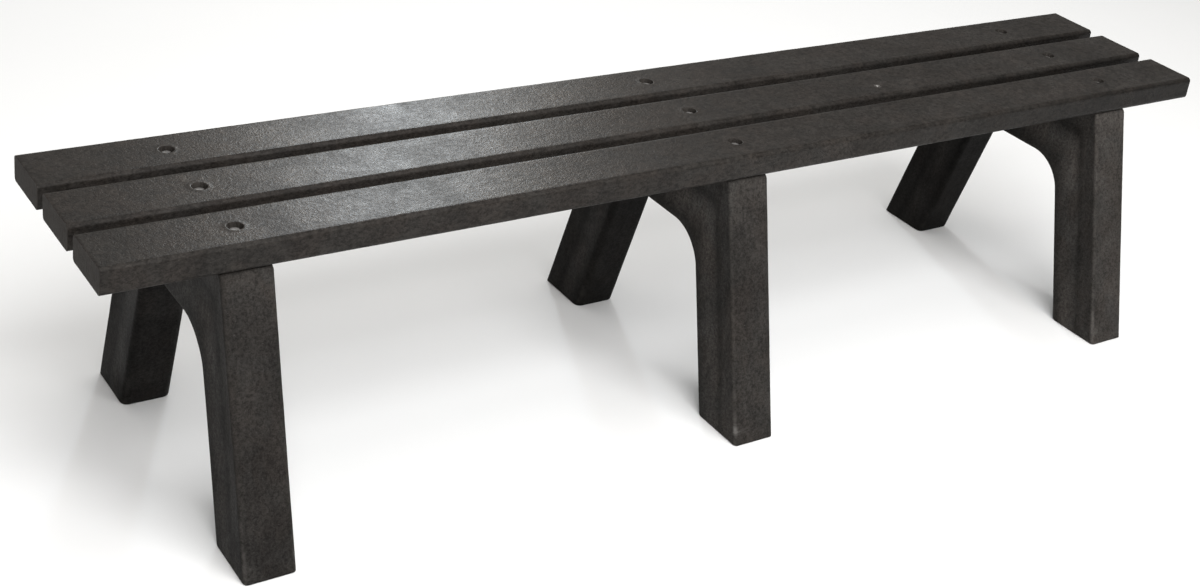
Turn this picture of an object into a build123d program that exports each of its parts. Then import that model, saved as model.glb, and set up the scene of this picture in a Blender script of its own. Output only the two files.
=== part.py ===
from build123d import *
from math import radians, tan
import os

# Backless street bench in moulded recycled plastic: three long slats lie across three one-piece
# leg frames, and each slat is held to each frame by one coach screw on a washer, sunk in the slat.
# Millimetres. +X runs along the bench, +Y to its rear, +Z up.
# The origin is on the ground, under the middle of the seat.

# Slats
BENCH_LENGTH = 2000
SEAT_HEIGHT = 445
SLAT_WIDTH = 100
SLAT_THICKNESS = 40
SLAT_GAP = 20
SLAT_EDGE_RADIUS = 7
SLAT_END_CHAMFER = 1

# Leg frames: a crossbar and two splayed legs moulded as one A-shape with an arch between the legs
FRAME_SPACING = 807
FRAME_THICKNESS = 76
CROSSBAR_LENGTH = 330
CROSSBAR_DEPTH = 123
LEG_SPLAY = 16
FOOT_WIDTH = 104
ARCH_RADIUS = 68
SHOULDER_RADIUS = 10
OUTER_EDGE_RADIUS = 7
ARCH_EDGE_RADIUS = 12
FOOT_CHAMFER = 1.5

# M8 coach screws with hexagon heads, and their plain washers
HEAD_ACROSS_FLATS = 13
HEAD_HEIGHT = 5.5
HEAD_CHAMFER = 1
SCREW_LENGTH = 80
SHANK_DIAMETER = 8
SHANK_LENGTH = 26
THREAD_DIAMETER = 6.8
POINT_LENGTH = 7
WASHER_DIAMETER = 17
WASHER_HOLE_DIAMETER = 8.4
WASHER_THICKNESS = 1.6

# Holes for the screws
COUNTERBORE_DIAMETER = 22
HEAD_RECESS = 5.5
CLEARANCE_HOLE_DIAMETER = 9
PILOT_CLEARANCE = 0.1
PILOT_EXTRA_DEPTH = 4

# Worked out from the sizes above
slat_pitch = SLAT_WIDTH + SLAT_GAP
frame_height = SEAT_HEIGHT - SLAT_THICKNESS
counterbore_depth = HEAD_RECESS + HEAD_HEIGHT + WASHER_THICKNESS
washer_seat_height = SEAT_HEIGHT - counterbore_depth
head_seat_height = washer_seat_height + WASHER_THICKNESS
screw_tip_height = head_seat_height - SCREW_LENGTH
pilot_depth = frame_height - screw_tip_height + PILOT_EXTRA_DEPTH

slat_places = {"rear": slat_pitch, "middle": 0, "front": -slat_pitch}
frame_places = {"left": -FRAME_SPACING, "centre": 0, "right": FRAME_SPACING}


def make_slat():
    """One slat, centred on the origin of X and Y, with its top at seat height and its screw holes."""
    slat = Pos(0, 0, SEAT_HEIGHT - SLAT_THICKNESS / 2) * Box(BENCH_LENGTH, SLAT_WIDTH, SLAT_THICKNESS)
    slat = fillet(slat.edges().filter_by(Axis.X), SLAT_EDGE_RADIUS)
    end_faces = slat.faces().filter_by(Axis.X)
    slat = chamfer(end_faces.edges(), SLAT_END_CHAMFER)
    for x in frame_places.values():
        top = Plane((x, 0, SEAT_HEIGHT))
        slat -= top * Pos(0, 0, -counterbore_depth / 2) * Cylinder(COUNTERBORE_DIAMETER / 2, counterbore_depth)
        slat -= top * Pos(0, 0, -SLAT_THICKNESS / 2) * Cylinder(CLEARANCE_HOLE_DIAMETER / 2, SLAT_THICKNESS)
    return slat


def frame_profile():
    """Outline of a leg frame across the bench: crossbar, two splayed legs and the arch between them."""
    splay = tan(radians(LEG_SPLAY))
    shoulder = CROSSBAR_LENGTH / 2
    heel = shoulder + frame_height * splay
    toe = heel - FOOT_WIDTH
    underside = frame_height - CROSSBAR_DEPTH
    arch = toe - underside * splay
    front_half = [(-shoulder, frame_height), (-heel, 0), (-toe, 0), (-arch, underside)]
    rear_half = [(-y, z) for y, z in reversed(front_half)]
    face = make_face(Polyline(*front_half, *rear_half, close=True))
    arch_corners = [v for v in face.vertices() if abs(v.Y - underside) < 1]
    return fillet(arch_corners, ARCH_RADIUS)


def is_arch_edge(edge):
    """True for an edge on or beside the arch between the legs, and not on the frame's outer outline."""
    middle = edge.center()
    reach = ARCH_EDGE_RADIUS + 1
    below = middle.Z < frame_height - CROSSBAR_DEPTH + reach
    return below and abs(middle.Y) < CROSSBAR_LENGTH / 2 + reach


def side_edges(frame):
    """The edges round a frame's two side faces, apart from those on the ground."""
    sides = frame.faces().filter_by(Axis.X)
    return [e for side in sides for e in side.edges() if e.center().Z > 1]


def make_frame():
    """One leg frame, centred on the origin of X and Y, standing on the ground, with its pilot holes."""
    frame = extrude(Plane.YZ * frame_profile(), FRAME_THICKNESS / 2, both=True)
    frame = fillet([e for e in side_edges(frame) if is_arch_edge(e)], ARCH_EDGE_RADIUS)
    frame = fillet(frame.faces().sort_by(Axis.Z)[-1].edges().filter_by(Axis.X), SHOULDER_RADIUS)
    frame = fillet([e for e in side_edges(frame) if not is_arch_edge(e)], OUTER_EDGE_RADIUS)
    soles = frame.faces().filter_by(Axis.Z).group_by(Axis.Z)[0]
    frame = chamfer([e for sole in soles for e in sole.edges()], FOOT_CHAMFER)
    pilot = Cylinder(THREAD_DIAMETER / 2 + PILOT_CLEARANCE, pilot_depth)
    for y in slat_places.values():
        frame -= Pos(0, y, frame_height - pilot_depth / 2) * pilot
    return frame


def make_screw():
    """One coach screw with its head's underside at its seat; its thread is a plain core with a point."""
    head = extrude(RegularPolygon(HEAD_ACROSS_FLATS / 2, 6, major_radius=False), HEAD_HEIGHT)
    crown = Cone(HEAD_ACROSS_FLATS / 2 + HEAD_HEIGHT, HEAD_ACROSS_FLATS / 2 - HEAD_CHAMFER / 2, HEAD_HEIGHT)
    head &= Pos(0, 0, HEAD_HEIGHT / 2) * crown
    shank = Pos(0, 0, -SHANK_LENGTH / 2) * Cylinder(SHANK_DIAMETER / 2, SHANK_LENGTH)
    thread_length = SCREW_LENGTH - SHANK_LENGTH - POINT_LENGTH
    thread = Pos(0, 0, -SHANK_LENGTH - thread_length / 2) * Cylinder(THREAD_DIAMETER / 2, thread_length)
    point = Pos(0, 0, -SCREW_LENGTH + POINT_LENGTH / 2) * Cone(0.5, THREAD_DIAMETER / 2, POINT_LENGTH)
    return Pos(0, 0, head_seat_height) * (head + shank + thread + point)


def make_washer():
    """One plain washer on the floor of its counterbore."""
    disc = Cylinder(WASHER_DIAMETER / 2, WASHER_THICKNESS) - Cylinder(WASHER_HOLE_DIAMETER / 2, WASHER_THICKNESS)
    return Pos(0, 0, washer_seat_height + WASHER_THICKNESS / 2) * disc


def save(part, node):
    """Write one piece as its own node."""
    part.label = node
    export_step(part, f"parts/{node}.step")


os.makedirs("parts", exist_ok=True)
slat = make_slat()
frame = make_frame()
screw = make_screw()
washer = make_washer()

for slat_name, y in slat_places.items():
    save(Pos(0, y, 0) * slat, f"slat_{slat_name}")

for frame_name, x in frame_places.items():
    save(Pos(x, 0, 0) * frame, f"leg_frame_{frame_name}")
    for slat_name, y in slat_places.items():
        save(Pos(x, y, 0) * screw, f"coach_screw_{frame_name}_{slat_name}")
        save(Pos(x, y, 0) * washer, f"washer_{frame_name}_{slat_name}")
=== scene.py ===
import math

import bmesh
import bpy
from mathutils import Matrix, Vector, noise


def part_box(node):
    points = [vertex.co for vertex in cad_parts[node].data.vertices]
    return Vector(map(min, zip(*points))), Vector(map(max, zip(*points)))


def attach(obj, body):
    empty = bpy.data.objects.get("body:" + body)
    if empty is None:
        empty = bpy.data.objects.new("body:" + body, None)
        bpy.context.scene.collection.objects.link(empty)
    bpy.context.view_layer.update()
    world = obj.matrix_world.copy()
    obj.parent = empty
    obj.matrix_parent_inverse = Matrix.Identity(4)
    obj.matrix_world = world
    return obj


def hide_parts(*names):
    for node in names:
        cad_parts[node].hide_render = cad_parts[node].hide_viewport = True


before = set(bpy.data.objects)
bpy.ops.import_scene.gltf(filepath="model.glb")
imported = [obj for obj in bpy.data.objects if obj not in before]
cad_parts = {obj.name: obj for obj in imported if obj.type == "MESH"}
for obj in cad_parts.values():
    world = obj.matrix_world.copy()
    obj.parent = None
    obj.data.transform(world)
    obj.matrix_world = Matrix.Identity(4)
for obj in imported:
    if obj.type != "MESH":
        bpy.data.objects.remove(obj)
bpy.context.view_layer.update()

# The bench: three recycled-plastic slats on three moulded leg frames, held by sunk coach screws.
# Metres throughout; +X along the bench, +Y to its rear, +Z up. Places come from the frame.

MM = 0.001
SLATS = ("rear", "middle", "front")
FRAMES = ("left", "centre", "right")

# The angles at which a rounded edge, and the smaller arris of an end, are cut into strips
EDGE_ANGLES = [math.radians(15 * k) for k in range(1, 6)]
ARRIS_ANGLES = [math.radians(30 * k) for k in range(4)]

# Slats. Each hole is drilled in a square patch that reaches HOLE_PATCH to each side of its axis,
# and points within PATCH_MARGIN of the patch's edge count as part of it
SLAT_EDGE_RADIUS = 7 * MM
SLAT_END_ARRIS = 1.2 * MM
SLAT_STEP = 3 * MM
HOLE_PATCH = 18 * MM
PATCH_MARGIN = 0.1 * MM
COUNTERBORE_RADIUS = 11 * MM
CLEARANCE_RADIUS = 4.5 * MM
CLEARANCE_ARRIS = 0.3 * MM
HOLE_RIM = 0.35 * MM
RIM_DROP = 0.3 * MM

# How deep a slat's skin dips: hollow faces, long swells, ripples, puckers, and nibbled long edges
SLAT_HOLLOW = 0.30 * MM
SLAT_SIDE_HOLLOW = 0.2 * MM
SLAT_SWELL = 0.35 * MM
SLAT_RIPPLE = 0.16 * MM
SLAT_PUCKER = 0.10 * MM
SLAT_NIBBLE = 0.5 * MM

# The slats darken toward the right end, a painted shade: from where, over what length, on every
# face, and on top of that on the faces that look to the front
RIGHT_END_SHADE_START = 0.25
RIGHT_END_SHADE_LENGTH = 0.6
RIGHT_END_SHADE_ALL = 0.10
RIGHT_END_SHADE_FRONT = 0.42

# Leg frames
OUTER_EDGE_RADIUS = 7 * MM
SHOULDER_RADIUS = 10 * MM
ARCH_EDGE_RADIUS = 12 * MM
ARCH_RADIUS = 68 * MM
CROSSBAR_HALF = 165 * MM
CROSSBAR_DEPTH = 123 * MM
FOOT_WIDTH = 104 * MM
LEG_SPLAY = math.radians(16)
FOOT_ARRIS = 2 * MM

# How a frame is cut into quads. Its sections fan out round the arch, from FAN_START beyond the
# arch's upper end to FAN_END of the crossbar's depth
WIDTH_QUADS = 14
DEPTH_QUADS = 20
LEG_QUADS = 56
ARCH_QUADS = 30
CROSSBAR_QUADS = 12
SHOULDER_QUADS = 6
CROSSBAR_STEP = 6 * MM
FAN_START = 14 * MM
FAN_END = 0.85
FLATTEST_SECTION = 0.35

# How deep a frame's skin dips: the moulded sink in each side face, which starts above the foot
# and has its crease at a share of the way from outer to arch edge, hollow faces, swells, ripples
SINK_DEPTH = 4.5 * MM
SINK_CREASE = 0.38
SINK_START = 20 * MM
SINK_RUN = 120 * MM
FRAME_HOLLOW = 0.8 * MM
FRAME_SWELL = 0.5 * MM
FRAME_RIPPLE = 0.22 * MM

# Brightness of each frame: a factor for its front leg, one for its rear leg, and a further one for
# its side faces. 1 is the plain plastic. The factors are partly the plastic's own tone, which
# varies between mouldings, and partly painted light and shade: the front legs lit, the rear legs
# shaded, and the side faces lit on the centre frame and shaded on the others. The first gives way
# to the second over LEG_BLEND of the crossbar. Faces that look to the right or to the rear have the
# turned-away shade instead.
FRAME_SHADES = {
    "left": (1.16, 0.86, 0.84),
    "centre": (1.36, 0.66, 1.20),
    "right": (1.9, 0.66, 0.78),
}
TURNED_AWAY_SHADE = 1.2
LEG_BLEND = 120 * MM

# Bands of painted light and shade on a frame, each as (strength, where its middle lies, how far it
# reaches)
PAINTED_SHEEN_BAND = (0.85, 0.62, 0.24)
CREASE_SHADE_BAND = (0.30, SINK_CREASE, 0.10)
ARCH_EDGE_SHADE_BAND = (0.35, 1.0, 0.22)
# Painted light at the upper ends of the outer faces
UPPER_END_LIGHT_STRENGTH = 0.45
UPPER_END_LIGHT_REACH = 0.09
# Painted light along the rounded outer edges
LIT_EDGE_STRENGTH = 0.18
LIT_EDGE_REACH = 0.3
# Painted shade on the faces in the arch
ARCH_FACE_SHADE = 0.3

# Scuffs on the front feet: how strong on each frame, spots on the left edge, and a thin line
FRAME_SCUFFS = {"left": 0.12, "centre": 0.60, "right": 0.30}
SCUFF_SPOT_HEIGHT = 25 * MM
SCUFF_SPOT_REACH = 13 * MM
SCUFF_SPOT_STRENGTH = 1.1
SCUFF_LINE_HEIGHT = 22 * MM
SCUFF_LINE_REACH = 7 * MM
SCUFF_LINE_LENGTH = 36 * MM
SCUFF_LINE_STRENGTH = 0.7

# Screws and washers
HEAD_FLATS = 13 * MM
HEAD_HEIGHT = 5.5 * MM
CROWN_RADIUS = HEAD_FLATS / 2 * 0.95
HEAD_CHAMFER = math.radians(25)
SHANK_RADIUS = 4 * MM
SHANK_LENGTH = 26 * MM
THREAD_CORE = 2.8 * MM
THREAD_PITCH = 3.6 * MM
THREAD_STEP = 0.45 * MM
THREAD_HALF_WIDTH = 0.22
POINT_LENGTH = 7 * MM
POINT_TIP = 0.08
SPANNER_TURN = 0.7
WASHER_HOLE_RADIUS = 4.2 * MM

# Linear colours of the plastics: the two ends of the blotches, the saw-cut ends of the slats,
# the pale blemish on the middle slat, and the scuffs
SLAT_COLOURS = ((0.0105, 0.0096, 0.0088, 1), (0.0280, 0.0258, 0.0238, 1))
FRAME_COLOURS = ((0.0098, 0.0093, 0.0088, 1), (0.0250, 0.0237, 0.0223, 1))
SAWN_COLOURS = ((0.0235, 0.0212, 0.0192, 1), (0.0530, 0.0484, 0.0444, 1))
WARM_TINT = (1.04, 0.985, 0.955)
PALE_GAIN = 2.2
BLEMISH_PLACE = (0.380, -0.015, 0.445)
BLEMISH_HALO = (0.20, 0.193, 0.186, 1)
BLEMISH_CORE = (0.40, 0.39, 0.38, 1)
SCUFF_COLOUR = (0.16, 0.155, 0.15, 1)

# The camera stands to the front left at about standing eye height and looks down at the bench
CAMERA_PLACE = (-1.6345, -2.0045, 1.5279)
CAMERA_YAW = math.radians(36.31)
CAMERA_PITCH = math.radians(24.54)
CAMERA_ROLL = math.radians(7.58)
CAMERA_LENS = 53.6
CAMERA_SHIFT_Y = -0.116


class Shell:
    """Points, the way each one faces, and the quads between them, gathered into one closed mesh."""

    def __init__(self):
        self.points = []
        self.facings = []
        self.faces = []

    def add(self, point, facing):
        self.points.append(Vector(point))
        self.facings.append(Vector(facing).normalized())
        return len(self.points) - 1

    def ring(self, centre, radius, height, angles, facing_out, facing_up):
        """A level circle of points, whose facing leans from outward to upward."""
        row = []
        for angle in angles:
            out = Vector((math.cos(angle), math.sin(angle), 0))
            point = Vector((centre[0], centre[1], height)) + out * radius
            row.append(self.add(point, out * facing_out + Vector((0, 0, facing_up))))
        return row

    def bridge(self, first, second):
        """Quads between two closed rows with the same number of points."""
        count = len(first)
        for i in range(count):
            j = (i + 1) % count
            self.faces.append((first[i], first[j], second[j], second[i]))

    def cap(self, loop, flat, side, facing):
        """Closes a four-sided loop with a grid: two flats of so many quads, and two sides."""
        total = len(loop)
        grid = [[None] * (side + 1) for _ in range(flat + 1)]
        for i in range(flat + 1):
            grid[i][0] = loop[i]
            grid[i][side] = loop[(2 * flat + side - i) % total]
        for j in range(1, side):
            grid[flat][j] = loop[flat + j]
            grid[0][j] = loop[total - j]
        places = ((0, 0), (flat, 0), (0, side), (flat, side))
        corner = [self.points[grid[i][j]] for i, j in places]
        for i in range(1, flat):
            u = i / flat
            for j in range(1, side):
                v = j / side
                across = self.points[grid[0][j]].lerp(self.points[grid[flat][j]], u)
                along = self.points[grid[i][0]].lerp(self.points[grid[i][side]], v)
                bilinear = corner[0].lerp(corner[1], u).lerp(corner[2].lerp(corner[3], u), v)
                grid[i][j] = self.add(across + along - bilinear, facing)
        for i in range(flat):
            for j in range(side):
                self.faces.append((grid[i][j], grid[i + 1][j], grid[i + 1][j + 1], grid[i][j + 1]))

    def sink(self, depth):
        """Pushes every point inwards by depth(point, facing)."""
        self.points = [p - f * depth(p, f) for p, f in zip(self.points, self.facings)]

    def object(self, name, sharp_angle=None, traits=None):
        """The finished piece. Each trait is a function of point and facing, kept for its finish."""
        mesh = bpy.data.meshes.new(name)
        mesh.from_pydata([tuple(p) for p in self.points], [], self.faces)
        for trait, value_at in (traits or {}).items():
            values = [value_at(p, f) for p, f in zip(self.points, self.facings)]
            mesh.attributes.new(trait, "FLOAT", "POINT").data.foreach_set("value", values)
        cleaner = bmesh.new()
        cleaner.from_mesh(mesh)
        bmesh.ops.recalc_face_normals(cleaner, faces=cleaner.faces)
        cleaner.to_mesh(mesh)
        cleaner.free()
        mesh.shade_smooth()
        if sharp_angle is not None:
            mesh.set_sharp_from_angle(angle=sharp_angle)
        piece = bpy.data.objects.new(name, mesh)
        bpy.context.scene.collection.objects.link(piece)
        return piece


def spread(start, end, step):
    """Evenly spaced values from start to end, about step apart, both ends included."""
    count = max(1, round(abs(end - start) / step))
    return [start + (end - start) * i / count for i in range(count + 1)]


def chained(*runs):
    """Runs of values joined end to end, with the shared ends kept once."""
    values = list(runs[0])
    for run in runs[1:]:
        values.extend(run[1:])
    return values


def circle(count):
    """The angles of so many points round a circle."""
    return [2 * math.pi * k / count for k in range(count)]


def arris(size):
    """A small rounded corner as (way from the end, inset, angle), from the end face to the side."""
    return [(size * (1 - math.cos(a)), size * (1 - math.sin(a)), a) for a in ARRIS_ANGLES]


def limit(value):
    """The value held between 0 and 1."""
    return min(1, max(0, value))


def hump(value, middle, width):
    """1 at the middle, falling smoothly to 0 over the width to each side."""
    away = min(1, abs(value - middle) / width)
    return (1 - away * away) ** 2


def wave(point, along, across, seed):
    """Smooth noise from 0 to 1, with the given wavelengths along X and across it."""
    place = Vector((point.x / along, point.y / across, point.z / across))
    return 0.5 + 0.5 * noise.noise(place + Vector((seed, seed, seed)))


def long_bend(facing):
    """1 half way round a slat's long edges, 0 on its flat faces."""
    return 4 * (facing.y * facing.z) ** 2


def side_edge(point, facing):
    """1 half way round the edges of the faces that look along X, 0 on the flat faces."""
    return 4 * facing.x ** 2 * (1 - facing.x ** 2)


def slat_edge(point, facing):
    """1 half way round any of a slat's edges, 0 on its flat faces."""
    return long_bend(facing) + side_edge(point, facing)


# ---------------------------------------------------------------- slats

def slat_section(half_width, half_height):
    """Rounded outline of a slat as (y, z, facing y, facing z): its top, then round by the rear."""
    flat = half_width - SLAT_EDGE_RADIUS
    upright = half_height - SLAT_EDGE_RADIUS
    beside = spread(HOLE_PATCH, flat, SLAT_STEP)
    inner = chained(spread(-HOLE_PATCH, HOLE_PATCH, SLAT_STEP), beside)
    top = [-y for y in reversed(beside)][:-1] + inner
    heights = spread(upright, -upright, SLAT_STEP)
    outline = [(y, half_height, 0, 1) for y in top]

    def corner(sign_y, sign_z, angles):
        for a in angles:
            y = sign_y * (flat + SLAT_EDGE_RADIUS * math.sin(a))
            z = sign_z * (upright + SLAT_EDGE_RADIUS * math.cos(a))
            outline.append((y, z, sign_y * math.sin(a), sign_z * math.cos(a)))

    corner(1, 1, EDGE_ANGLES)
    outline.extend((half_width, z, 1, 0) for z in heights)
    corner(1, -1, reversed(EDGE_ANGLES))
    outline.extend((y, -half_height, 0, -1) for y in reversed(top))
    corner(-1, -1, EDGE_ANGLES)
    outline.extend((-half_width, z, -1, 0) for z in reversed(heights))
    corner(-1, 1, reversed(EDGE_ANGLES))
    flat_count = len(top) - 1
    side_count = len(outline) // 2 - flat_count
    return outline, flat_count, side_count


def hole_distance(point, centre, screw_places):
    """How far a point is from the axis of the nearest screw."""
    return min(math.hypot(point.x - x, point.y - centre.y) for x in screw_places)


def slat_depth(centre, half_width, half_height, screw_places, seed):
    """How far each point of a slat lies under its nominal face, as an extruded plank's skin does.

    The skin is level round each hole, so that its rim is a clean circle.
    """
    rim = COUNTERBORE_RADIUS + 2 * MM

    def depth(point, facing):
        y = (point.y - centre.y) / half_width
        z = (point.z - centre.z) / half_height
        reach = hole_distance(point, centre, screw_places)
        if reach < COUNTERBORE_RADIUS + HOLE_RIM / 2 and facing.z > -0.5:
            return 0
        clear_of_rim = limit((reach - rim) / (HOLE_PATCH - rim))
        hollow = SLAT_HOLLOW * abs(facing.z) * (1 - y * y)
        hollow += SLAT_SIDE_HOLLOW * abs(facing.y) * (1 - z * z)
        swell = SLAT_SWELL * wave(point, 0.16, 0.07, seed)
        ripple = SLAT_RIPPLE * wave(point, 0.035, 0.014, seed + 7)
        ripple += SLAT_PUCKER * wave(point, 0.011, 0.010, seed + 3)
        nibble = SLAT_NIBBLE * long_bend(facing) * wave(point, 0.045, 0.02, seed + 19)
        return RIM_DROP + (hollow + swell + ripple + nibble - RIM_DROP) * clear_of_rim

    return depth


def patch_perimeter(table, i_low, i_high, k_low, k_high):
    """Point numbers round a square patch of a grid, and the angle of each from its centre."""
    corners = ((i_low, k_low), (i_high, k_low), (i_high, k_high), (i_low, k_high))
    row = []
    angles = []
    for side in range(4):
        (i0, k0), (i1, k1) = corners[side], corners[(side + 1) % 4]
        steps = max(abs(i1 - i0), abs(k1 - k0))
        for n in range(steps):
            i = i0 + (i1 - i0) * n // steps
            k = k0 + (k1 - k0) * n // steps
            row.append(table[i][k])
            angles.append(math.radians(225 + 90 * (side + n / steps)))
    return row, angles


def drill(shell, centre, top_row, bottom_row, angles, top, floor, bottom):
    """A counterbore with a rounded rim, its floor, and the clearance hole down to the underside."""
    rows = [top_row]

    def collar(edge_row, radius, height, up, shares):
        """Rows between a square edge (share 0) and a circle (share 1)."""
        for share in shares:
            ring = []
            for number, angle in zip(edge_row, angles):
                x = centre[0] + radius * math.cos(angle)
                y = centre[1] + radius * math.sin(angle)
                between = shell.points[number].lerp(Vector((x, y, height)), share)
                ring.append(shell.add(between, (0, 0, up)))
            rows.append(ring)

    bore = COUNTERBORE_RADIUS
    mouth = CLEARANCE_RADIUS + CLEARANCE_ARRIS
    rim = top - RIM_DROP
    wall = spread(top - 2 * MM, floor + 1 * MM, 3 * MM)
    seat = spread(bore - 1.5 * MM, mouth, 2.5 * MM)
    shaft = spread(floor - CLEARANCE_ARRIS, bottom + 0.8 * MM, 6 * MM)

    # Each row as (radius, height, outward facing, upward facing)
    profile = [(bore + 0.3 * HOLE_RIM, rim - 0.3 * HOLE_RIM, -1, 1)]
    profile += [(bore, rim - HOLE_RIM, -1, 0.2)]
    profile += [(bore, z, -1, 0) for z in wall]
    profile += [(bore - 0.4 * MM, floor, -0.5, 1)]
    profile += [(r, floor, 0, 1) for r in seat]
    profile += [(CLEARANCE_RADIUS, z, -1, 0) for z in shaft]
    profile += [(mouth, bottom, -0.3, -1)]

    collar(top_row, bore + HOLE_RIM, top, 1, (0.35, 0.65, 0.85, 1.0))
    for radius, height, out, up in profile:
        rows.append(shell.ring(centre, radius, height, angles, out, up))
    collar(bottom_row, mouth, bottom, -1, (0.8, 0.5, 0.25))
    rows.append(bottom_row)
    for first, second in zip(rows, rows[1:]):
        shell.bridge(first, second)


def make_slat(name, screw_places, seed):
    """A plank swept along X over dense stations, with a drilled patch at each screw."""
    low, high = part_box(f"slat_{name}")
    washer_low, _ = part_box(f"washer_centre_{name}")
    centre = (low + high) / 2
    half_width = (high.y - low.y) / 2
    half_height = (high.z - low.z) / 2
    outline, flat_count, side_count = slat_section(half_width, half_height)
    shell = Shell()

    # Each station as (x, inset, facing along X, facing outward)
    ends = arris(SLAT_END_ARRIS)
    stations = [(low.x + x, inset, -math.cos(a), math.sin(a)) for x, inset, a in ends]
    breaks = [low.x + SLAT_END_ARRIS]
    for x in screw_places:
        breaks += [x - HOLE_PATCH, x + HOLE_PATCH]
    breaks.append(high.x - SLAT_END_ARRIS)
    runs = [spread(a, b, SLAT_STEP) for a, b in zip(breaks, breaks[1:])]
    stations += [(x, 0, 0, 1) for x in chained(*runs)[1:-1]]
    stations += [(high.x - x, inset, math.cos(a), math.sin(a)) for x, inset, a in reversed(ends)]

    table = []
    for x, inset, along, outward in stations:
        row = []
        for y, z, fy, fz in outline:
            point = (x, centre.y + y - fy * inset, centre.z + z - fz * inset)
            row.append(shell.add(point, (along, fy * outward, fz * outward)))
        table.append(row)

    count = len(outline)
    patch = HOLE_PATCH + PATCH_MARGIN
    in_patch = [k for k in range(count) if abs(outline[k][0]) < patch]
    tops = [k for k in in_patch if outline[k][3] == 1]
    unders = [k for k in in_patch if outline[k][3] == -1]
    holes = []
    for x in screw_places:
        inside = [i for i, station in enumerate(stations) if abs(station[0] - x) < patch]
        holes.append((x, inside[0], inside[-1]))
    drilled = tops[:-1] + unders[:-1]
    skipped = {(i, k) for _, i0, i1 in holes for i in range(i0, i1) for k in drilled}
    for i in range(len(stations) - 1):
        for k in range(count):
            if (i, k) not in skipped:
                m = (k + 1) % count
                shell.faces.append((table[i][k], table[i + 1][k], table[i + 1][m], table[i][m]))
    for x, i0, i1 in holes:
        top_row, angles = patch_perimeter(table, i0, i1, tops[0], tops[-1])
        under_row, _ = patch_perimeter(table, i0, i1, unders[-1], unders[0])
        drill(shell, (x, centre.y), top_row, under_row, angles, high.z, washer_low.z, low.z)
    shell.cap(table[0], flat_count, side_count, (-1, 0, 0))
    shell.cap(table[-1], flat_count, side_count, (1, 0, 0))
    shell.sink(slat_depth(centre, half_width, half_height, screw_places, seed))

    def sawn(point, facing):
        """1 on the walls of the holes and on the end faces."""
        in_hole = hole_distance(point, centre, screw_places) < COUNTERBORE_RADIUS + HOLE_RIM / 2
        return 1 if in_hole and abs(facing.z) < 0.9 else max(0, 2 * abs(facing.x) - 1)

    # Painted shade, darkening toward the right end, deepest on the faces that look to the front
    def brightness(point, facing):
        toward_right = limit((point.x - RIGHT_END_SHADE_START) / RIGHT_END_SHADE_LENGTH)
        return 1 - (RIGHT_END_SHADE_ALL + RIGHT_END_SHADE_FRONT * max(0, -facing.y)) * toward_right

    traits = {"edge": slat_edge, "sawn": sawn, "shade": brightness}
    return shell.object(f"slat_{name}_moulded", traits=traits)


# ---------------------------------------------------------------- leg frames

def outline_pairs(top, underside):
    """Matching points on a frame's arch side and outer side, from its middle to the rear foot.

    Each is a pair, inner then outer, of (y, z, facing y, facing z).
    """
    lean = math.tan(LEG_SPLAY)
    across, rise = math.cos(LEG_SPLAY), math.sin(LEG_SPLAY)
    heel = CROSSBAR_HALF + top * lean
    toe = heel - FOOT_WIDTH
    corner = toe - underside * lean
    turn = math.pi / 2 - LEG_SPLAY
    arch_tangent = ARCH_RADIUS * math.tan(turn / 2)
    shoulder_tangent = SHOULDER_RADIUS * math.tan(turn / 2)

    arch_start = corner - arch_tangent
    inner = [(y, underside, 0, -1) for y in spread(0, arch_start, CROSSBAR_STEP)]
    outer_top = arch_start + FAN_START
    outer = [(outer_top * i / (len(inner) - 1), top, 0, 1) for i in range(len(inner))]

    for k in range(1, ARCH_QUADS + 1):
        a = turn * k / ARCH_QUADS
        y = arch_start + ARCH_RADIUS * math.sin(a)
        z = underside - ARCH_RADIUS * (1 - math.cos(a))
        inner.append((y, z, -math.sin(a), -math.cos(a)))
    shoulder_start = CROSSBAR_HALF - shoulder_tangent
    for y in spread(outer_top, shoulder_start, (shoulder_start - outer_top) / CROSSBAR_QUADS)[1:]:
        outer.append((y, top, 0, 1))
    for k in range(1, SHOULDER_QUADS + 1):
        a = turn * k / SHOULDER_QUADS
        y = shoulder_start + SHOULDER_RADIUS * math.sin(a)
        z = top - SHOULDER_RADIUS * (1 - math.cos(a))
        outer.append((y, z, math.sin(a), math.cos(a)))
    z_side = outer[-1][1]
    z_pair = top - CROSSBAR_DEPTH * FAN_END
    for z in spread(z_side, z_pair, (z_side - z_pair) / CROSSBAR_QUADS)[1:]:
        outer.append((heel - z * lean, z, across, rise))

    z_inner = inner[-1][1]
    for k in range(1, LEG_QUADS + 1):
        share = k / LEG_QUADS
        zi = z_inner * (1 - share)
        zo = z_pair * (1 - share)
        inner.append((toe - zi * lean, zi, -across, -rise))
        outer.append((heel - zo * lean, zo, across, rise))
    return list(zip(inner, outer))


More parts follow.
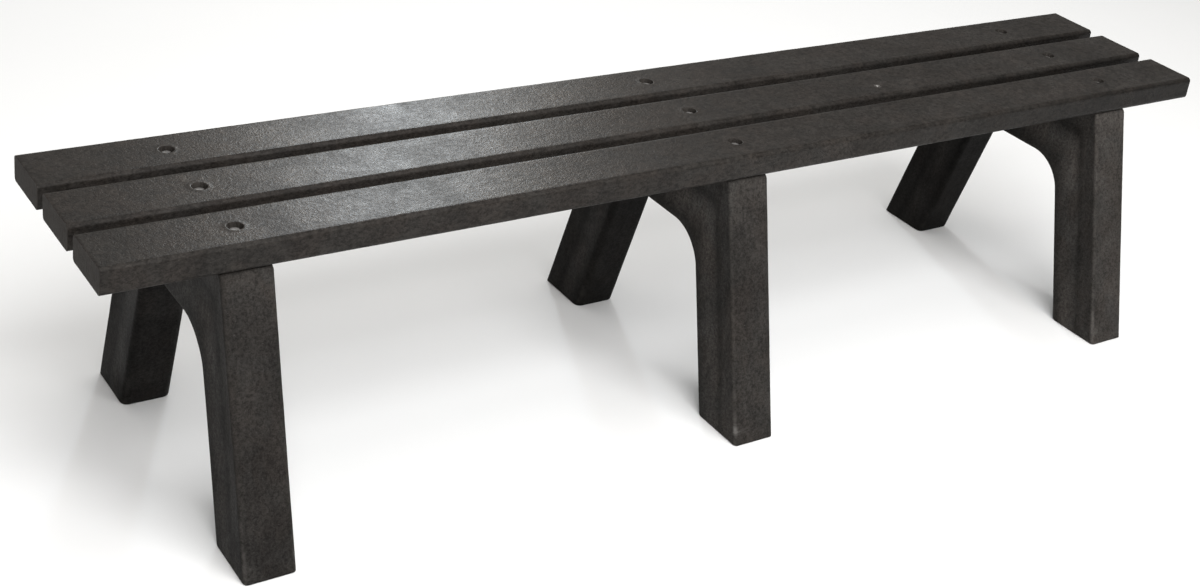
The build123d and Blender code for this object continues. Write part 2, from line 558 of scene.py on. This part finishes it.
def frame_rows(pairs, half_thickness, widths, depths):
    """Section outlines of a frame at each pair: outer face, right side, arch face, left side."""
    rows = []
    aside = Vector((1, 0, 0))
    out_flat = half_thickness - OUTER_EDGE_RADIUS
    in_flat = half_thickness - ARCH_EDGE_RADIUS
    for (iy, iz, ify, ifz), (oy, oz, ofy, ofz) in pairs:
        inner = Vector((0, iy, iz))
        outer = Vector((0, oy, oz))
        out_facing = Vector((0, ofy, ofz))
        in_facing = Vector((0, ify, ifz))
        line = (outer - inner).normalized()
        out_slope = 1 / max(FLATTEST_SECTION, line.dot(out_facing))
        in_slope = 1 / max(FLATTEST_SECTION, -line.dot(in_facing))
        row = []

        def bend(sign, from_point, direction, slope, facing, radius, angles):
            for a in angles:
                x = sign * (half_thickness - radius + radius * math.sin(a))
                point = from_point + direction * radius * (1 - math.cos(a)) * slope
                row.append((point + aside * x, facing * math.cos(a) + aside * sign * math.sin(a)))

        for w in widths:
            row.append((outer + aside * w * out_flat, out_facing))
        bend(1, outer, -line, out_slope, out_facing, OUTER_EDGE_RADIUS, EDGE_ANGLES)
        side_start = outer - line * OUTER_EDGE_RADIUS * out_slope
        side_end = inner + line * ARCH_EDGE_RADIUS * in_slope
        for d in depths:
            row.append((side_start.lerp(side_end, d) + aside * half_thickness, aside))
        bend(1, inner, line, in_slope, in_facing, ARCH_EDGE_RADIUS, reversed(EDGE_ANGLES))
        for w in reversed(widths):
            row.append((inner + aside * w * in_flat, in_facing))
        bend(-1, inner, line, in_slope, in_facing, ARCH_EDGE_RADIUS, EDGE_ANGLES)
        for d in reversed(depths):
            row.append((side_start.lerp(side_end, d) - aside * half_thickness, -aside))
        bend(-1, outer, -line, out_slope, out_facing, OUTER_EDGE_RADIUS, reversed(EDGE_ANGLES))
        rows.append(row)
    return rows


def make_frame(name, seed, shades, scuffing):
    """A leg frame as one beam bent from the front foot, over the arch, to the rear foot.

    The shades are the brightness of its front leg, of its rear leg and of its side faces, partly
    painted light and shade, and scuffing is how much its front foot is rubbed.
    """
    front_shade, rear_shade, side_shade = shades
    low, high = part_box(f"leg_frame_{name}")
    centre_x = (low.x + high.x) / 2
    half_thickness = (high.x - low.x) / 2
    top = high.z
    underside = top - CROSSBAR_DEPTH
    widths = spread(-1, 1, 2 / WIDTH_QUADS)
    depths = spread(0, 1, 1 / DEPTH_QUADS)
    half = outline_pairs(top, underside)
    mirrored = []
    for (iy, iz, ify, ifz), (oy, oz, ofy, ofz) in reversed(half[1:]):
        mirrored.append(((-iy, iz, -ify, ifz), (-oy, oz, -ofy, ofz)))
    pairs = mirrored + half
    rows = frame_rows(pairs, half_thickness, widths, depths)

    shell = Shell()
    down = Vector((0, 0, -1))
    table = []

    def store(row, height, inset, outward, downward):
        numbers = []
        for point, facing in row:
            level = Vector((facing.x, facing.y, 0))
            place = Vector((point.x, point.y, point.z + height)) - level * inset
            leaning = facing * outward + down * downward
            numbers.append(shell.add(place + Vector((centre_x, 0, 0)), leaning))
        table.append(numbers)

    foot = arris(FOOT_ARRIS)[:-1]
    for height, inset, a in foot:
        store(rows[0], height, inset, math.sin(a), math.cos(a))
    for row in rows[1:-1]:
        store(row, 0, 0, 1, 0)
    for height, inset, a in reversed(foot):
        store(rows[-1], height, inset, math.sin(a), math.cos(a))

    for first, second in zip(table, table[1:]):
        shell.bridge(first, second)
    flat_count = len(widths) - 1
    side_count = len(table[0]) // 2 - flat_count
    shell.cap(table[0], flat_count, side_count, down)
    shell.cap(table[-1], flat_count, side_count, down)

    def depth(point, facing):
        if facing.z < -0.99 and point.z < 1 * MM:
            return 0
        x = (point.x - centre_x) / half_thickness
        clear_of_foot = limit((point.z - SINK_START) / SINK_RUN)
        inward = side_hollow(point, top, underside)
        hollow = SINK_DEPTH * clear_of_foot * abs(facing.x) * inward
        face = FRAME_HOLLOW * clear_of_foot * (1 - abs(facing.x)) * max(0, 1 - x * x)
        swell = FRAME_SWELL * wave(point, 0.06, 0.09, seed)
        ripple = FRAME_RIPPLE * wave(point, 0.02, 0.03, seed + 5)
        return hollow + face + swell + ripple

    shell.sink(depth)

    # Partly the plastic's own tone and partly painted light and shade: lit front legs, shaded rear
    # legs
    def brightness(point, facing):
        frontward = limit(0.5 - point.y / LEG_BLEND)
        leg = rear_shade + (front_shade - rear_shade) * frontward
        side = 1 + (side_shade - 1) * facing.x ** 2
        turned_away = min(1, max(0, facing.x) + max(0, facing.y) * (1 - frontward))
        shade = leg * side * (1 - turned_away) + TURNED_AWAY_SHADE * turned_away
        return shade * painted_light_and_shade(point, facing, top, underside, seed)

    def scuff(point, facing):
        return scuffing * rubbed_foot(point, facing, centre_x - half_thickness, seed)

    traits = {"edge": side_edge, "shade": brightness, "scuff": scuff}
    return shell.object(f"leg_frame_{name}_moulded", traits=traits)


def side_share(point, top, underside):
    """Where a point of a side face lies: 0 at the frame's outer edge, 1 at its arch edge."""
    lean = math.tan(LEG_SPLAY)
    heel = CROSSBAR_HALF + top * lean
    toe = heel - FOOT_WIDTH
    y = abs(point.y)
    outside = min((heel - point.z * lean - y) * math.cos(LEG_SPLAY), top - point.z)
    inside = max((y - (toe - point.z * lean)) * math.cos(LEG_SPLAY), point.z - underside)
    return limit(outside / max(outside + inside, 1e-6))


def side_hollow(point, top, underside):
    """1 along the crease in a frame's side face, falling to 0 at its outer and arch edges."""
    share = side_share(point, top, underside)
    slope = min(share / SINK_CREASE, (1 - share) / (1 - SINK_CREASE))
    return (slope - slope ** 4 / 4) / 0.75


def tone_band(value, band):
    """A band's strength where the value lies at its middle, falling to 0 at its reach."""
    strength, middle, reach = band
    return strength * hump(value, middle, reach)


def painted_light_and_shade(point, facing, top, underside, seed):
    """Tone of a frame's skin, as a factor near 1.

    The side faces have a mottled band of painted sheen inside the crease, and painted shade along
    the crease and the arch edges. The outer faces have painted light at their upper ends and along
    their rounded outer edges, and the faces in the arch have painted shade.
    """
    share = side_share(point, top, underside)
    side = facing.x * facing.x
    cloudy = 0.25 + 1.5 * max(0, wave(point, 0.05, 0.055, seed + 27) - 0.15)
    higher = 0.65 + 0.5 * hump(point.z, underside, 0.14)
    sheen = tone_band(share, PAINTED_SHEEN_BAND) * cloudy * higher
    # Painted shade along the crease and the arch edges
    crease = tone_band(share, CREASE_SHADE_BAND)
    arch_edge = tone_band(share, ARCH_EDGE_SHADE_BAND)
    outward = math.copysign(1, point.y) * facing.y
    upper_end_light = UPPER_END_LIGHT_STRENGTH * hump(point.z, top, UPPER_END_LIGHT_REACH) * max(0, outward)
    lit_edge = LIT_EDGE_STRENGTH * side_edge(point, facing) * hump(share, 0, LIT_EDGE_REACH)
    arch_shade = ARCH_FACE_SHADE * max(0, -outward)
    return 1 + side * (sheen - crease - arch_edge) + upper_end_light + lit_edge - arch_shade


def rubbed_foot(point, facing, left_side, seed):
    """How much a front foot is scuffed: spots on its left edge and a thin level line from it."""
    if point.y > 0:
        return 0
    from_left = point.x - left_side
    spot = 0
    if from_left < OUTER_EDGE_RADIUS:
        broken = max(0, wave(point, 0.03, 0.012, seed + 41) - 0.35) / 0.3
        near_ground = hump(point.z, SCUFF_SPOT_HEIGHT, SCUFF_SPOT_REACH)
        spot = SCUFF_SPOT_STRENGTH * side_edge(point, facing) * near_ground * broken
    fading = max(0, 1 - from_left / SCUFF_LINE_LENGTH)
    line = hump(point.z, SCUFF_LINE_HEIGHT, SCUFF_LINE_REACH) * fading * abs(facing.y)
    return min(1, spot + SCUFF_LINE_STRENGTH * line)


# ---------------------------------------------------------------- fasteners

def hexagon_radius(angle):
    """Distance from the middle of a hexagon head to its side, at an angle."""
    sixth = math.pi / 3
    return HEAD_FLATS / 2 / math.cos((angle + sixth / 2) % sixth - sixth / 2)


def make_screw(frame_name, slat_name, turn):
    """A coach screw: chamfered hexagon head, plain shank, coarse thread and gimlet point.

    The head stands at an angle of turn, as the spanner left it.
    """
    low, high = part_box(f"coach_screw_{frame_name}_{slat_name}")
    x, y = (low.x + high.x) / 2, (low.y + high.y) / 2
    seat = high.z - HEAD_HEIGHT
    angles = circle(72)
    shell = Shell()
    rows = []

    def ring(radius_at, height_at):
        """A row whose radius and height are functions of the angle."""
        row = []
        for a in angles:
            out = Vector((math.cos(a), math.sin(a), 0))
            row.append(shell.add(Vector((x, y, height_at(a))) + out * radius_at(a), out))
        rows.append(row)

    def side_at(angle):
        return hexagon_radius(angle - turn)

    slope = math.tan(HEAD_CHAMFER)
    ring(lambda a: 0.5 * MM, lambda a: high.z - 0.05 * MM)
    ring(lambda a: CROWN_RADIUS * 0.6, lambda a: high.z - 0.02 * MM)
    ring(lambda a: CROWN_RADIUS, lambda a: high.z)
    ring(side_at, lambda a: high.z - (side_at(a) - CROWN_RADIUS) * slope)
    ring(side_at, lambda a: seat + 0.3 * MM)
    ring(lambda a: side_at(a) - 0.3 * MM, lambda a: seat)
    ring(lambda a: SHANK_RADIUS + 0.4 * MM, lambda a: seat)
    ring(lambda a: SHANK_RADIUS, lambda a: seat - 0.4 * MM)
    ring(lambda a: SHANK_RADIUS, lambda a: seat - SHANK_LENGTH)

    thread_top = seat - SHANK_LENGTH
    point_top = low.z + POINT_LENGTH
    crest = SHANK_RADIUS - THREAD_CORE
    for z in spread(thread_top - 0.3 * MM, low.z, THREAD_STEP):
        taper = min(1, max(POINT_TIP, (z - low.z) / (point_top - low.z)))

        def threaded(a, z=z, taper=taper):
            phase = (z / THREAD_PITCH - a / (2 * math.pi)) % 1
            ridge = max(0, 1 - abs(phase - 0.5) / THREAD_HALF_WIDTH)
            return (THREAD_CORE + crest * ridge) * taper

        ring(threaded, lambda a, z=z: z)
    for first, second in zip(rows, rows[1:]):
        shell.bridge(first, second)
    shell.faces.append(tuple(rows[0]))
    shell.faces.append(tuple(reversed(rows[-1])))
    return shell.object(f"coach_screw_{frame_name}_{slat_name}_turned", math.radians(28))


def make_washer(frame_name, slat_name):
    """A stamped plain washer with eased edges."""
    low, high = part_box(f"washer_{frame_name}_{slat_name}")
    centre = ((low.x + high.x) / 2, (low.y + high.y) / 2)
    outside = (high.x - low.x) / 2
    hole = WASHER_HOLE_RADIUS
    profile = [
        (hole, low.z + 0.2 * MM),
        (hole, high.z - 0.35 * MM),
        (hole + 0.35 * MM, high.z),
        (outside * 0.75, high.z),
        (outside - 0.5 * MM, high.z),
        (outside - 0.15 * MM, high.z - 0.15 * MM),
        (outside, high.z - 0.5 * MM),
        (outside, low.z + 0.1 * MM),
        (outside - 0.1 * MM, low.z),
        (hole + 0.2 * MM, low.z),
    ]
    angles = circle(64)
    shell = Shell()
    rows = [shell.ring(centre, radius, height, angles, 1, 0) for radius, height in profile]
    for first, second in zip(rows, rows[1:] + rows[:1]):
        shell.bridge(first, second)
    return shell.object(f"washer_{frame_name}_{slat_name}_stamped", math.radians(40))


# ---------------------------------------------------------------- materials

class Graph:
    """A material's node tree, with short calls for the nodes that the finishes share."""

    def __init__(self, name):
        self.material = bpy.data.materials.new(name)
        self.material.use_nodes = True
        self.tree = self.material.node_tree
        self.shader = next(n for n in self.tree.nodes if n.type == "BSDF_PRINCIPLED")
        place = self.tree.nodes.new("ShaderNodeTexCoord")
        self.place = place.outputs["Object"]

    def link(self, value, socket):
        """Feeds a socket from an output, or sets it to a plain value."""
        if isinstance(value, bpy.types.NodeSocket):
            self.tree.links.new(value, socket)
        else:
            socket.default_value = value

    def noise(self, scale, detail, rough, distortion=0.0, shift=(0, 0, 0)):
        """Noise from about 0 to 1, with scale (x, y, z) in cells per metre."""
        mapping = self.tree.nodes.new("ShaderNodeMapping")
        mapping.inputs["Scale"].default_value = scale
        mapping.inputs["Location"].default_value = shift
        self.link(self.place, mapping.inputs["Vector"])
        texture = self.tree.nodes.new("ShaderNodeTexNoise")
        texture.inputs["Scale"].default_value = 1.0
        texture.inputs["Detail"].default_value = detail
        texture.inputs["Roughness"].default_value = rough
        texture.inputs["Distortion"].default_value = distortion
        self.link(mapping.outputs["Vector"], texture.inputs["Vector"])
        return texture.outputs["Fac"]

    def stretch(self, value, low, high, to_low=0.0, to_high=1.0):
        """Maps low..high to to_low..to_high, held at both ends."""
        node = self.tree.nodes.new("ShaderNodeMapRange")
        self.link(value, node.inputs["Value"])
        node.inputs["From Min"].default_value = low
        node.inputs["From Max"].default_value = high
        node.inputs["To Min"].default_value = to_low
        node.inputs["To Max"].default_value = to_high
        return node.outputs["Result"]

    def math(self, operation, first, second):
        node = self.tree.nodes.new("ShaderNodeMath")
        node.operation = operation
        self.link(first, node.inputs[0])
        self.link(second, node.inputs[1])
        return node.outputs["Value"]

    def weighted(self, *terms):
        """Sum of (value, weight) terms."""
        total = None
        for value, weight in terms:
            part = self.math("MULTIPLY", value, weight)
            total = part if total is None else self.math("ADD", total, part)
        return total

    def distance(self, place):
        """How far a point of the piece lies from a place."""
        node = self.tree.nodes.new("ShaderNodeVectorMath")
        node.operation = "DISTANCE"
        self.link(self.place, node.inputs[0])
        node.inputs[1].default_value = place
        return node.outputs["Value"]

    def mix(self, share, first, second):
        """Blends two colours."""
        node = self.tree.nodes.new("ShaderNodeMix")
        node.data_type = "RGBA"
        self.link(share, node.inputs["Factor"])
        self.link(first, node.inputs["A"])
        self.link(second, node.inputs["B"])
        return node.outputs["Result"]

    def attribute(self, name):
        node = self.tree.nodes.new("ShaderNodeAttribute")
        node.attribute_name = name
        return node.outputs["Fac"]

    def height_above_ground(self):
        node = self.tree.nodes.new("ShaderNodeSeparateXYZ")
        self.link(self.place, node.inputs["Vector"])
        return node.outputs["Z"]

    def scale(self, colour, factor):
        node = self.tree.nodes.new("ShaderNodeVectorMath")
        node.operation = "SCALE"
        self.link(colour, node.inputs[0])
        self.link(factor, node.inputs["Scale"])
        return node.outputs["Vector"]

    def tint(self, colour, factors):
        node = self.tree.nodes.new("ShaderNodeVectorMath")
        node.operation = "MULTIPLY"
        self.link(colour, node.inputs[0])
        node.inputs[1].default_value = factors
        return node.outputs["Vector"]

    def bump(self, height, distance, strength):
        node = self.tree.nodes.new("ShaderNodeBump")
        self.link(height, node.inputs["Height"])
        node.inputs["Distance"].default_value = distance
        node.inputs["Strength"].default_value = strength
        self.link(node.outputs["Normal"], self.shader.inputs["Normal"])


def recycled_plastic(name, blotch, streak, dark, light):
    """Charcoal recycled plastic with blotches, flow streaks, clouds, pale flecks and fine grain."""
    graph = Graph(name)
    blotches = graph.noise(blotch, 3, 0.6, 0.4)
    fine = graph.noise(tuple(2.6 * s for s in blotch), 2, 0.6, 0.3, (3, 1, 2))
    streaks = graph.noise(streak, 3, 0.6, 0.6, (8, 6, 4))
    cloud = graph.noise((12, 13, 10), 4, 0.6, 0.8)
    grain = graph.noise((900, 900, 900), 2, 0.5)
    fleck = graph.noise((330, 420, 420), 2, 0.6, 0.4, (9, 4, 7))

    tone = graph.weighted((blotches, 0.46), (fine, 0.36), (streaks, 0.18))
    colour = graph.mix(graph.stretch(tone, 0.40, 0.60), dark, light)
    colour = graph.scale(colour, graph.stretch(cloud, 0.34, 0.66, 0.80, 1.22))
    hue = graph.noise((16, 19, 12), 3, 0.6, 0.5, (7, 2, 5))
    colour = graph.mix(graph.stretch(hue, 0.40, 0.60), colour, graph.tint(colour, WARM_TINT))
    pale = tuple(PALE_GAIN * c for c in light[:3]) + (1.0,)
    colour = graph.mix(graph.stretch(fleck, 0.66, 0.76, 0.0, 0.6), colour, pale)
    rubbed = graph.noise((60, 60, 60), 4, 0.65, 0.4, (5, 8, 2))
    low_down = graph.stretch(graph.height_above_ground(), 0.02, 0.10, 0.9, 0.15)
    wear = graph.math("MULTIPLY", graph.attribute("edge"), graph.stretch(rubbed, 0.42, 0.66))
    colour = graph.mix(graph.math("MULTIPLY", wear, low_down), colour, pale)
    return graph, tone, cloud, grain, colour


def finish_plastic(graph, tone, cloud, grain, colour, rough, roughness, grain_depth, specular):
    """Joins a plastic's colour, gloss and grain to its shader; rough adds to the roughness."""
    graph.link(colour, graph.shader.inputs["Base Color"])
    gloss = graph.weighted((tone, 0.6), (cloud, 0.4))
    shine = graph.stretch(gloss, 0.38, 0.62, roughness[0], roughness[1])
    graph.link(graph.math("ADD", shine, rough), graph.shader.inputs["Roughness"])
    graph.bump(graph.weighted((tone, 1.0), (grain, 0.12)), grain_depth, 1.0)
    graph.shader.inputs["IOR"].default_value = 1.49
    graph.shader.inputs["Specular IOR Level"].default_value = specular
    return graph.material


def slat_plastic():
    """The slats' extruded skin: duller round its edges, saw-cut at its ends, one small blemish."""
    roughness, grain_depth, specular = (0.39, 0.25), 0.7 * MM, 0.09
    graph, tone, cloud, grain, colour = recycled_plastic(
        "slat_recycled_plastic", (140, 140, 210), (90, 120, 170), *SLAT_COLOURS
    )
    # The shade attribute carries the slats' painted shade toward the right end
    colour = graph.scale(colour, graph.attribute("shade"))
    kerf = graph.noise((40, 900, 60), 3, 0.7, 0.2, (2, 2, 2))
    sawn = graph.attribute("sawn")
    cut = graph.mix(graph.stretch(kerf, 0.35, 0.65), *SAWN_COLOURS)
    colour = graph.mix(sawn, colour, cut)
    away = graph.distance(BLEMISH_PLACE)
    specks = graph.noise((420, 420, 420), 2, 0.5, 0.2, (1, 6, 3))
    nearby = graph.stretch(away, 3.0 * MM, 8.0 * MM, 0.7, 0.0)
    halo = graph.math("MULTIPLY", nearby, graph.stretch(specks, 0.46, 0.58))
    colour = graph.mix(halo, colour, BLEMISH_HALO)
    core = graph.stretch(away, 1.2 * MM, 2.6 * MM, 0.9, 0.0)
    colour = graph.mix(core, colour, BLEMISH_CORE)
    rough = graph.weighted((sawn, 0.40), (graph.attribute("edge"), 0.25))
    return finish_plastic(
        graph, tone, cloud, grain, colour, rough, roughness, grain_depth, specular
    )


def frame_plastic():
    """The leg frames' moulded skin, matt, with scuffed feet."""
    roughness, grain_depth, specular = (0.62, 0.46), 0.5 * MM, 0.04
    graph, tone, cloud, grain, colour = recycled_plastic(
        "frame_recycled_plastic", (210, 210, 210), (120, 120, 14), *FRAME_COLOURS
    )
    mark = graph.noise((70, 70, 260), 3, 0.6, 0.3, (4, 4, 1))
    scuffed = graph.math("MULTIPLY", graph.attribute("scuff"), graph.stretch(mark, 0.40, 0.60))
    # The shade attribute carries the frames' painted light and shade along with their own tone
    colour = graph.scale(colour, graph.attribute("shade"))
    colour = graph.mix(scuffed, colour, SCUFF_COLOUR)
    rough = graph.weighted((graph.attribute("edge"), 0.10), (scuffed, 0.20))
    return finish_plastic(
        graph, tone, cloud, grain, colour, rough, roughness, grain_depth, specular
    )


def zinc_steel(name, bright, dull, roughness):
    """Zinc-plated steel that has stood outdoors: spangled grey with duller patches."""
    graph = Graph(name)
    patches = graph.noise((260, 260, 260), 4, 0.6, 0.5)
    scratch = graph.noise((2600, 900, 900), 2, 0.5)
    colour = graph.mix(graph.stretch(patches, 0.40, 0.62), bright, dull)
    graph.link(colour, graph.shader.inputs["Base Color"])
    graph.link(graph.stretch(patches, 0.35, 0.65, *roughness), graph.shader.inputs["Roughness"])
    graph.shader.inputs["Metallic"].default_value = 0.9
    graph.bump(scratch, 0.03 * MM, 0.6)
    return graph.material


def floor_finish():
    """Plain pale studio floor."""
    graph = Graph("floor_pale")
    tone = graph.noise((3, 3, 3), 2, 0.5)
    colour = graph.mix(tone, (0.855, 0.873, 0.885, 1), (0.87, 0.888, 0.90, 1))
    graph.link(colour, graph.shader.inputs["Base Color"])
    graph.shader.inputs["Roughness"].default_value = 0.7
    graph.shader.inputs["Specular IOR Level"].default_value = 0.2
    return graph.material


# ---------------------------------------------------------------- stage

def add_floor(material):
    floor = Shell()
    angles = circle(96)
    rows = [floor.ring((0, 0), radius, 0, angles, 0, 1) for radius in (0.5, 2, 5, 12)]
    for first, second in zip(rows, rows[1:]):
        floor.bridge(first, second)
    floor.faces.append(tuple(rows[0]))
    piece = floor.object("studio_floor")
    piece.location.z = -0.2 * MM
    piece.data.materials.append(material)


def add_light(name, place, target, size, watts, colour):
    data = bpy.data.lights.new(name, "AREA")
    data.shape = "RECTANGLE"
    data.size, data.size_y = size
    data.energy = watts
    data.color = colour
    lamp = bpy.data.objects.new(name, data)
    bpy.context.scene.collection.objects.link(lamp)
    lamp.location = place
    lamp.rotation_euler = (Vector(target) - Vector(place)).to_track_quat("-Z", "Y").to_euler()


def add_world(strength, colour):
    world = bpy.data.worlds.new("studio_air")
    world.use_nodes = True
    background = world.node_tree.nodes["Background"]
    background.inputs["Color"].default_value = colour
    background.inputs["Strength"].default_value = strength
    bpy.context.scene.world = world


def add_camera():
    data = bpy.data.cameras.new("camera")
    camera = bpy.data.objects.new("camera", data)
    bpy.context.scene.collection.objects.link(camera)
    sine, cosine = math.sin(CAMERA_YAW), math.cos(CAMERA_YAW)
    level = math.cos(CAMERA_PITCH)
    forward = Vector((sine * level, cosine * level, -math.sin(CAMERA_PITCH)))
    right = Vector((cosine, -sine, 0))
    up = right.cross(forward)
    turned_right = right * math.cos(CAMERA_ROLL) + up * math.sin(CAMERA_ROLL)
    turned_up = up * math.cos(CAMERA_ROLL) - right * math.sin(CAMERA_ROLL)
    turn = Matrix((turned_right, turned_up, -forward)).transposed().to_4x4()
    camera.matrix_world = Matrix.Translation(CAMERA_PLACE) @ turn
    data.sensor_width = 36
    data.lens = CAMERA_LENS
    data.shift_y = CAMERA_SHIFT_Y
    data.clip_start, data.clip_end = 0.05, 60
    bpy.context.scene.camera = camera


def finish_piece(piece, node, material):
    """Stands a piece in for its CAD node, with its finish."""
    piece.data.materials.append(material)
    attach(piece, "root")
    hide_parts(node)


slat_finish = slat_plastic()
frame_finish = frame_plastic()
screw_finish = zinc_steel(
    "screw_zinc", (0.40, 0.395, 0.395, 1), (0.26, 0.256, 0.254, 1), (0.42, 0.60)
)
washer_finish = zinc_steel(
    "washer_zinc", (0.16, 0.155, 0.15, 1), (0.09, 0.088, 0.085, 1), (0.50, 0.70)
)

screw_places = []
for frame_name in FRAMES:
    low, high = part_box(f"leg_frame_{frame_name}")
    screw_places.append((low.x + high.x) / 2)

for number, slat_name in enumerate(SLATS):
    slat = make_slat(slat_name, screw_places, seed=31.7 * number)
    finish_piece(slat, f"slat_{slat_name}", slat_finish)

screw_count = 0
for number, frame_name in enumerate(FRAMES):
    seed = 11.3 + 17.9 * number
    piece = make_frame(frame_name, seed, FRAME_SHADES[frame_name], FRAME_SCUFFS[frame_name])
    finish_piece(piece, f"leg_frame_{frame_name}", frame_finish)
    for slat_name in SLATS:
        screw = make_screw(frame_name, slat_name, SPANNER_TURN * screw_count)
        screw_count += 1
        finish_piece(screw, f"coach_screw_{frame_name}_{slat_name}", screw_finish)
        washer = make_washer(frame_name, slat_name)
        finish_piece(washer, f"washer_{frame_name}_{slat_name}", washer_finish)

add_floor(floor_finish())
add_world(0.32, (1.0, 0.96, 0.915, 1))
# The window and its glow stand to the right rear, where the slats' tops mirror them
add_light("window", (2.16, 4.79, 2.89), (-0.5, 0, 0.44), (0.2, 1.6), 44, (0.72, 0.87, 1.0))
add_light("window_glow", (2.16, 4.79, 2.88), (-0.5, 0, 0.44), (1.15, 1.6), 42, (1.0, 0.885, 0.75))
add_light("front_high", (-0.4, -2.8, 3.3), (0, 0, 0.3), (4.0, 2.4), 222, (1.0, 0.98, 0.965))
add_light("overhead", (0, 0, 4.6), (0, 0, 0), (4.0, 3.0), 76, (1.0, 0.96, 0.92))
add_camera()
bpy.context.scene.view_settings.view_transform = "Standard"
